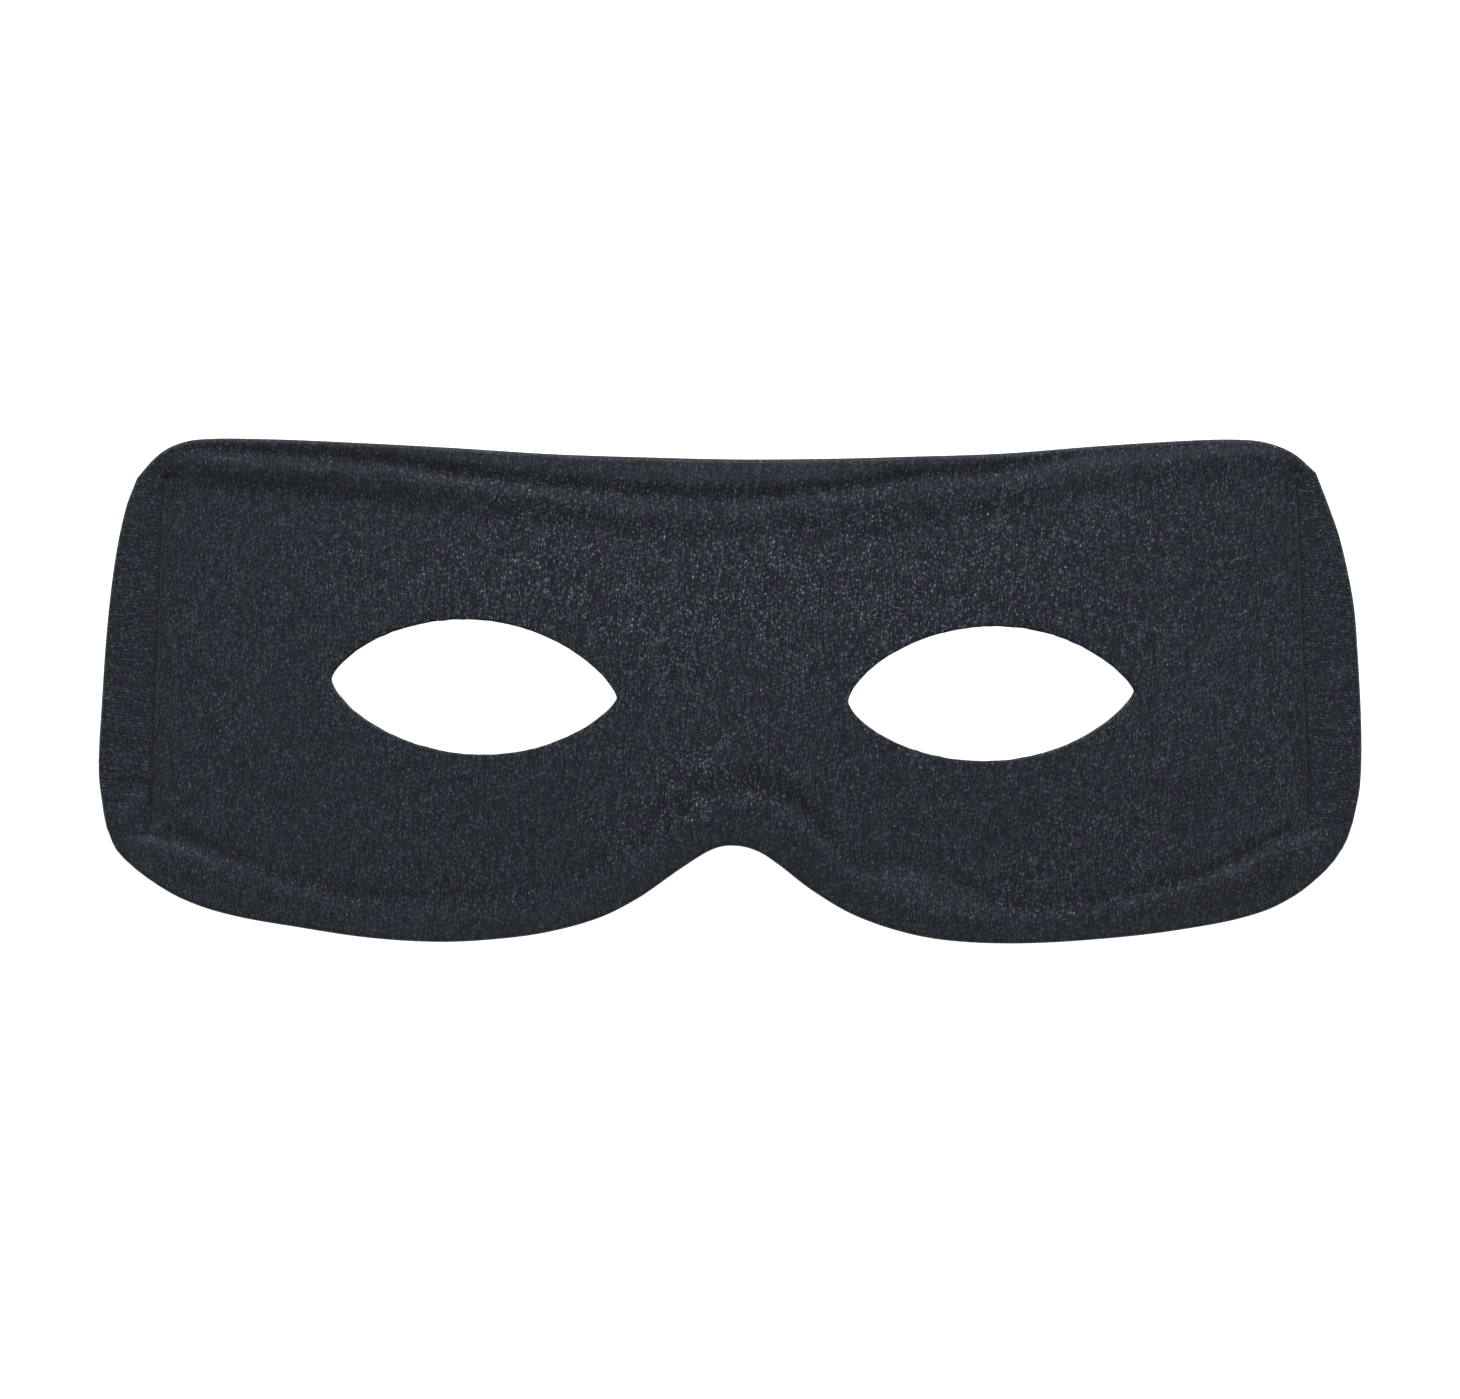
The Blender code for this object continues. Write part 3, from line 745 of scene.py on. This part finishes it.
def eye_distance(x, y, eyes):
    """Rough distance from the nearer eye's cut edge, 0 on the edge."""
    nearest = 1.0
    for eye in eyes:
        turn = math.radians(eye["tilt"])
        from_x = x - eye["centre_x"] * EYE_SPACING / 2
        from_y = y - eye["centre_y"] * HALF_HEIGHT
        along = from_x * math.cos(turn) + from_y * math.sin(turn)
        up = from_y * math.cos(turn) - from_x * math.sin(turn)
        share = along / (EYE_LENGTH / 2)
        reach = eye["upper"] if up >= 0 else 1 - eye["upper"]
        blunt = eye["blunt_left"] if share < 0 else eye["blunt_right"]
        if abs(share) < 1:
            lid = reach * EYE_HEIGHT * (1 - share * share) ** blunt
            slope = 1 + abs(share) ** 3
            nearest = min(nearest, max(abs(up) - lid, 0.0) / math.sqrt(slope))
        corner = math.hypot(abs(along) - EYE_LENGTH / 2, up)
        if abs(share) >= 1:
            nearest = min(nearest, corner)
    return nearest


def face_thickness(x, y, place, upper, lower, eyes):
    """Height of the face above its back: full, lower at its lines, seams and eye edges."""
    top_y = upper["line_y"]
    bottom_y = lower["line_y"]
    height = FACE_THICKNESS
    for section, relief, from_line in (
        (upper, brow_relief, top_y - y),
        (lower, cheek_relief, y - bottom_y),
    ):
        width = max(abs(section["edge_y"] - section["line_y"]), NARROWEST_ROLL)
        height += relief_height(section, relief, -from_line / width, from_line)
    shoulder = 1 - ease((seam_x(y) - abs(x)) / SHOULDER_WIDTH)
    height -= SHOULDER_DROP * shoulder * ease(min(top_y - y, y - bottom_y) / SHOULDER_WIDTH)
    height -= SEAM_DEPTH * needle_pull(y) * seam_shape(x, y, top_y, bottom_y)
    height -= dent_depth(x, y, FACE_DENTS)
    rounding = max(1 - eye_distance(x, y, eyes) / EYE_ROUND_WIDTH, 0.0)
    height -= EYE_ROUND_DEPTH * rounding * rounding
    return height + uneven(x, y)


def hem_spots(side, line_point, edge_point, top_y, bottom_y):
    """The spots across a side hem, level with its back on what the mask lies on."""
    line_x, line_y = line_point
    edge_x, edge_y = edge_point
    from_end = ease(min(top_y - line_y, line_y - bottom_y) / HEM_END_FADE)
    width = math.hypot(edge_x - line_x, edge_y - line_y)
    spots = []
    for row in range(ACROSS + 1):
        share = roll_share(row)
        x = mix(line_x, edge_x, share)
        y = mix(line_y, edge_y, share)
        flat = HEM_THICKNESS * (1 - 0.05 * math.cos(2 * math.pi * share))
        full = mix(corner_height(share), flat, from_end)
        turn = edge_turn(share, width)
        thickness = full - EDGE_DROP * turn
        # The seam's groove, which is also darkened with painted shade, as is the tuck below.
        painted_groove_shade = seam_shape(x, y, top_y, bottom_y)
        thickness -= SEAM_DEPTH * needle_pull(y) * painted_groove_shade
        tuck = TUCK[side] * math.exp(-(((line_y - bottom_y) / TUCK_WIDTH) ** 2))
        thickness -= TUCK_DEPTH * tuck
        painted_groove_shade = max(painted_groove_shade, tuck)
        thickness -= dent_depth(x, y, HEM_DENTS)
        lift = EDGE_LIFT * turn
        grain = (side * arc_length(abs(line_x)) + (x - line_x), y)
        spots.append(Spot(x, y, thickness, 0.0, lift, grain, painted_groove_shade, 0.6 * nap_and_sheen(x, y) + 0.2))
    return spots


def srgb(code):
    """Linear colour from an sRGB hex value."""
    channels = [int(code[index:index + 2], 16) / 255 for index in (1, 3, 5)]
    return tuple(
        value / 12.92 if value <= 0.04045 else ((value + 0.055) / 1.055) ** 2.4
        for value in channels
    ) + (1.0,)


def cloth_object(materials):
    """Shapes the cover's grids into the closed cloth and makes it an object."""
    body, spots, zones = build_cloth()
    grain_u, grain_v, front_z, back_z, painted_groove_shade, open_loops_and_sheen = [
        body.verts.layers.float[name] for name in CLOTH_LAYERS
    ]
    for face in body.faces:
        face.material_index = zones[face.verts[0]]
    for vert, spot in spots.items():
        vert.co = (spot.x, spot.y, 0.0)
        vert[grain_u] = spot.grain[0]
        vert[grain_v] = spot.grain[1]
        vert[front_z] = spot.front
        vert[back_z] = spot.back
        vert[painted_groove_shade] = spot.painted_groove_shade
        vert[open_loops_and_sheen] = spot.nap_and_sheen
    bmesh.ops.remove_doubles(body, verts=body.verts, dist=MERGE_DISTANCE)
    grown = bmesh.ops.extrude_face_region(body, geom=list(body.faces), use_keep_orig=True)
    front = {item for item in grown["geom"] if isinstance(item, bmesh.types.BMVert)}
    for vert in body.verts:
        vert.co.z = vert[front_z] if vert in front else vert[back_z]
    bmesh.ops.recalc_face_normals(body, faces=body.faces)
    uv = body.loops.layers.uv.new("grain")
    for face in body.faces:
        face.smooth = True
        for loop in face.loops:
            loop[uv].uv = (loop.vert[grain_u], loop.vert[grain_v])
    mesh = bpy.data.meshes.new("mask_cloth")
    body.to_mesh(mesh)
    body.free()
    for material in materials:
        mesh.materials.append(material)
    cloth = bpy.data.objects.new("mask_cloth", mesh)
    bpy.context.scene.collection.objects.link(cloth)
    return cloth


def add(tree, kind, settings=None, links=None):
    """Adds a node with its settings and links."""
    node = tree.nodes.new(kind)
    for name, value in (settings or {}).items():
        if isinstance(name, int) or name in node.inputs:
            node.inputs[name].default_value = value
        else:
            setattr(node, name, value)
    for name, source in (links or {}).items():
        tree.links.new(source, node.inputs[name])
    return node


def knit_material(name, turned, loop_colour, gap_colour):
    """Black polyester tricot laminated to foam.

    The loops stand in fine upright ribs, their legs leaning apart, with dark gaps between
    them. Each bundle and each filament throws back its own share of light, so the cloth
    looks dusted with specks; a few filaments carry painted glints, and painted sheen is
    stronger where the nap_and_sheen attribute is high.
    """
    material = bpy.data.materials.new(name)
    material.use_nodes = True
    tree = material.node_tree
    surface = tree.nodes["Principled BSDF"]

    def maths(operation, first, second=0.0, third=0.0):
        node = add(tree, "ShaderNodeMath", {"operation": operation})
        for index, value in enumerate((first, second, third)):
            if isinstance(value, bpy.types.NodeSocket):
                tree.links.new(value, node.inputs[index])
            else:
                node.inputs[index].default_value = value
        return node.outputs[0]

    grain = add(tree, "ShaderNodeUVMap", {"uv_map": "grain"})
    turn = math.radians(GRAIN_TILT + (90 if turned else 0))
    placed = add(
        tree, "ShaderNodeMapping", {"Rotation": (0, 0, turn)}, {"Vector": grain.outputs[0]}
    )
    wander = add(
        tree,
        "ShaderNodeTexNoise",
        {"Scale": PATCHES_PER_METRE, "Detail": 2.0},
        {"Vector": placed.outputs[0]},
    )
    parts = add(tree, "ShaderNodeSeparateXYZ", links={"Vector": placed.outputs[0]})
    shift = maths("MULTIPLY_ADD", wander.outputs["Fac"], 0.0006, -0.0003)
    column = maths("MULTIPLY", maths("ADD", parts.outputs["X"], shift), 2 / WALE)
    number = maths("FLOOR", column)
    row = maths("MULTIPLY", maths("ADD", parts.outputs["Y"], shift), 1 / COURSE)
    row = maths("MULTIPLY_ADD", number, WALE_SHIFT / 2 + 0.5, row)
    slip = add(tree, "ShaderNodeTexWhiteNoise", {"noise_dimensions": "1D"}, {"W": number})
    row = maths("MULTIPLY_ADD", slip.outputs["Value"], 0.6, row)
    course = maths("FLOOR", row)
    # Each leg of a loop is two bundles of filament, and each catches the light by itself.
    bundle = maths("FLOOR", maths("MULTIPLY", column, 2.0))
    cell = add(tree, "ShaderNodeCombineXYZ", links={"X": bundle, "Y": course})
    chance = add(
        tree, "ShaderNodeTexWhiteNoise", {"noise_dimensions": "2D"}, {"Vector": cell.outputs[0]}
    )
    lots = add(tree, "ShaderNodeSeparateColor", links={"Color": chance.outputs["Color"]})

    # The loops stand in courses, a little off their places, and their two legs lean apart.
    along = maths("SUBTRACT", maths("SUBTRACT", row, course), 0.6)
    along = maths("MULTIPLY_ADD", lots.outputs["Red"], 0.25, along)
    leg = maths("MULTIPLY_ADD", maths("FLOORED_MODULO", number, 2.0), 2.0, -1.0)
    across = maths("SUBTRACT", maths("SUBTRACT", column, number), 0.5)
    across = maths("MULTIPLY_ADD", maths("MULTIPLY", leg, along), 0.22, across)
    ridge = maths("COSINE", maths("MULTIPLY", across, 2 * math.pi))
    bow = maths("COSINE", maths("MULTIPLY", along, 2 * math.pi))
    catch = maths("MULTIPLY_ADD", bow, BOW_LIGHT, maths("MULTIPLY", ridge, RIDGE_LIGHT))
    catch = maths("SUBTRACT", catch, BUNDLE_LIGHT / 2)
    catch = maths("MULTIPLY_ADD", lots.outputs["Blue"], BUNDLE_LIGHT, catch)

    # Single filaments break it up, about 0.18 mm apart, and a few carry a painted glint in the
    # colour.
    fine = add(
        tree,
        "ShaderNodeVectorMath",
        {"operation": "SCALE", "Scale": FILAMENTS_PER_METRE},
        {0: placed.outputs[0]},
    )
    fine = add(tree, "ShaderNodeVectorMath", {"operation": "FLOOR"}, {0: fine.outputs[0]})
    speck = add(
        tree, "ShaderNodeTexWhiteNoise", {"noise_dimensions": "2D"}, {"Vector": fine.outputs[0]}
    )
    single = speck.outputs["Value"]
    catch = maths("SUBTRACT", catch, FILAMENT_LIGHT / 2)
    catch = maths("MULTIPLY_ADD", single, FILAMENT_LIGHT, catch)
    # The nap_and_sheen attribute gives painted sheen: where it is high the knit is more
    # contrasty, with more painted glints and a stronger tint, and its bumps stand higher.
    loose = add(tree, "ShaderNodeAttribute", {"attribute_name": "nap_and_sheen"})
    contrast = maths("MULTIPLY_ADD", loose.outputs["Fac"], 0.55, 0.56)
    fibre = maths("EXPONENT", maths("MULTIPLY", catch, contrast))
    tone = maths("MULTIPLY", fibre, maths("MULTIPLY_ADD", loose.outputs["Fac"], -0.040, 0.196))
    rarity = maths("MULTIPLY_ADD", loose.outputs["Fac"], -0.0035, 0.9985)
    painted_glint = maths("MAXIMUM", maths("MULTIPLY", maths("SUBTRACT", single, rarity), 700.0), 0.0)
    tone = maths("ADD", tone, painted_glint)

    colour = add(
        tree,
        "ShaderNodeMix",
        {"data_type": "RGBA", "clamp_factor": False, 6: gap_colour, 7: loop_colour},
        {0: tone},
    )
    dye = add(
        tree,
        "ShaderNodeTexNoise",
        {"Scale": PATCHES_PER_METRE, "Detail": 1.0},
        {"Vector": grain.outputs[0]},
    )
    dye_lot = maths("MULTIPLY_ADD", dye.outputs["Fac"], 3.6, -1.8)
    dye_lot = maths("MULTIPLY_ADD", lots.outputs["Green"], 0.6, maths("SUBTRACT", dye_lot, 0.3))
    tint = add(
        tree,
        "ShaderNodeMix",
        {"data_type": "RGBA", 6: srgb("#ecfff4"), 7: srgb("#f9eeff")},
        {0: maths("MULTIPLY_ADD", dye_lot, loose.outputs["Fac"], 0.5)},
    )
    dyed = add(
        tree,
        "ShaderNodeMix",
        {"data_type": "RGBA", "blend_type": "MULTIPLY", 0: 1.0},
        {6: colour.outputs[2], 7: tint.outputs[2]},
    )
    # Painted shade: the colour is darkened by up to 45% along creases, grooves, seams and the
    # tuck.
    crease = add(tree, "ShaderNodeAttribute", {"attribute_name": "painted_groove_shade"})
    kept = maths("MULTIPLY_ADD", crease.outputs["Fac"], -0.45, 1.0)
    shaded = add(
        tree,
        "ShaderNodeVectorMath",
        {"operation": "SCALE"},
        {0: dyed.outputs[2], "Scale": kept},
    )
    tree.links.new(shaded.outputs[0], surface.inputs["Base Color"])
    loft = maths("MULTIPLY_ADD", loose.outputs["Fac"], 0.20, 0.10)
    bump = add(
        tree,
        "ShaderNodeBump",
        {"Strength": 0.7, "Distance": 0.0001},
        {"Height": maths("MULTIPLY", catch, loft)},
    )
    tree.links.new(bump.outputs[0], surface.inputs["Normal"])
    surface.inputs["Roughness"].default_value = 0.6
    surface.inputs["Specular IOR Level"].default_value = 0.2
    surface.inputs["Sheen Weight"].default_value = 0.15
    surface.inputs["Sheen Roughness"].default_value = 0.5
    return material


def thread_material():
    """Black spun polyester sewing thread: matt, a little lighter than the seam it lies in."""
    material = bpy.data.materials.new("sewing_thread")
    material.use_nodes = True
    tree = material.node_tree
    surface = tree.nodes["Principled BSDF"]
    place = add(tree, "ShaderNodeTexCoord")
    twist = add(
        tree,
        "ShaderNodeTexWave",
        {"Scale": 900.0, "Distortion": 1.0, "bands_direction": "DIAGONAL"},
        {"Vector": place.outputs["Object"]},
    )
    colour = add(
        tree,
        "ShaderNodeMix",
        {"data_type": "RGBA", 6: srgb("#0a0b0d"), 7: srgb("#16181c")},
        {0: twist.outputs["Fac"]},
    )
    tree.links.new(colour.outputs[2], surface.inputs["Base Color"])
    surface.inputs["Roughness"].default_value = 0.7
    return material


def floor_material():
    """White acrylic sheet, lit from behind as product photographers use it."""
    material = bpy.data.materials.new("white_acrylic")
    material.use_nodes = True
    surface = material.node_tree.nodes["Principled BSDF"]
    surface.inputs["Base Color"].default_value = srgb("#f4f4f4")
    surface.inputs["Roughness"].default_value = 0.6
    surface.inputs["Emission Color"].default_value = srgb("#ffffff")
    surface.inputs["Emission Strength"].default_value = 1.0
    return material


def seam_stitches(name, side, material):
    """A row of sunk stitches down one side seam."""
    cheek_rows = named_rows(CHEEK_COLUMNS, CHEEK_SECTIONS)
    brow_rows = named_rows(BROW_COLUMNS, BROW_SECTIONS)
    top = section_at(brow_rows, float(side))
    bottom = section_at(cheek_rows, float(side))
    top_y = top["edge_y"] - top["drop"] * BROW_ROLL_WIDTH - SEAM_FADE / 2
    bottom_y = bottom["edge_y"] + bottom["rise"] * CHEEK_ROLL_WIDTH + SEAM_FADE / 2
    body = bmesh.new()
    first = math.ceil(bottom_y / STITCH_PITCH)
    last = math.floor(top_y / STITCH_PITCH)
    for number in range(first, last):
        y = (number + 0.5) * STITCH_PITCH
        made = bmesh.ops.create_uvsphere(body, u_segments=8, v_segments=6, radius=1.0)
        verts = made["verts"]
        stretch = Vector((THREAD_RADIUS, STITCH_LENGTH / 2, THREAD_RADIUS))
        bmesh.ops.scale(body, vec=stretch, verts=verts)
        slant = math.radians(STITCH_SLANT) * (1 if number % 2 else 0.6)
        bmesh.ops.rotate(body, matrix=Matrix.Rotation(slant, 3, "Z"), verts=verts)
        height = HEM_THICKNESS - SEAM_DEPTH
        bmesh.ops.translate(body, vec=Vector((side * seam_x(y), y, height)), verts=verts)
    for face in body.faces:
        face.smooth = True
    mesh = bpy.data.meshes.new(name)
    body.to_mesh(mesh)
    body.free()
    mesh.materials.append(material)
    stitches = bpy.data.objects.new(name, mesh)
    bpy.context.scene.collection.objects.link(stitches)
    return stitches


def studio():
    """A pale floor, soft light from beyond the forehead edge, and the camera straight above."""
    bpy.ops.mesh.primitive_plane_add(size=FLOOR_SIZE, location=(0.0, 0.0, -FLOOR_GAP))
    floor = bpy.context.object
    floor.name = "floor"
    floor.data.materials.append(floor_material())
    floor.visible_glossy = False

    world = bpy.data.worlds.new("studio")
    bpy.context.scene.world = world
    world.use_nodes = True
    background = world.node_tree.nodes["Background"]
    background.inputs["Color"].default_value = srgb("#ffffff")
    background.inputs["Strength"].default_value = ROOM_LIGHT

    for row in named_rows(LIGHT_COLUMNS, LIGHTS):
        light = bpy.data.lights.new(row["name"], "AREA")
        light.shape = "SQUARE"
        light.size = row["size"]
        light.energy = row["power"]
        light.color = srgb("#edf5ff")[:3]
        holder = bpy.data.objects.new(row["name"], light)
        holder.location = row["place"]
        holder.rotation_euler = (-Vector(row["place"])).to_track_quat("-Z", "Y").to_euler()
        bpy.context.scene.collection.objects.link(holder)

    camera_data = bpy.data.cameras.new("camera")
    camera_data.lens = camera_data.sensor_width * CAMERA_DISTANCE / (PHOTO_WIDTH * PIXEL)
    camera = bpy.data.objects.new("camera", camera_data)
    camera.location = (0.0, (MASK_ROW - MIDDLE_ROW) * PIXEL, MEAN_HEIGHT + CAMERA_DISTANCE)
    bpy.context.scene.collection.objects.link(camera)
    bpy.context.scene.camera = camera
    bpy.context.scene.view_settings.view_transform = "Standard"


face_knit = knit_material("face_knit", False, srgb(LOOP_COLOUR), srgb(GAP_COLOUR))
roll_knit = knit_material("roll_knit", False, srgb(LOOP_COLOUR), srgb(GAP_COLOUR))
hem_knit = knit_material("hem_knit", True, srgb(HEM_LOOP_COLOUR), srgb(GAP_COLOUR))
cloth = cloth_object([face_knit, roll_knit, hem_knit])
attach(cloth, "root")
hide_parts("face_pad", "brow_roll", "cheek_roll", "left_hem", "right_hem")

thread = thread_material()
for name, side in (("left_seam_stitches", -1), ("right_seam_stitches", 1)):
    stitches = seam_stitches(name, side, thread)
    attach(stitches, "root")

studio()
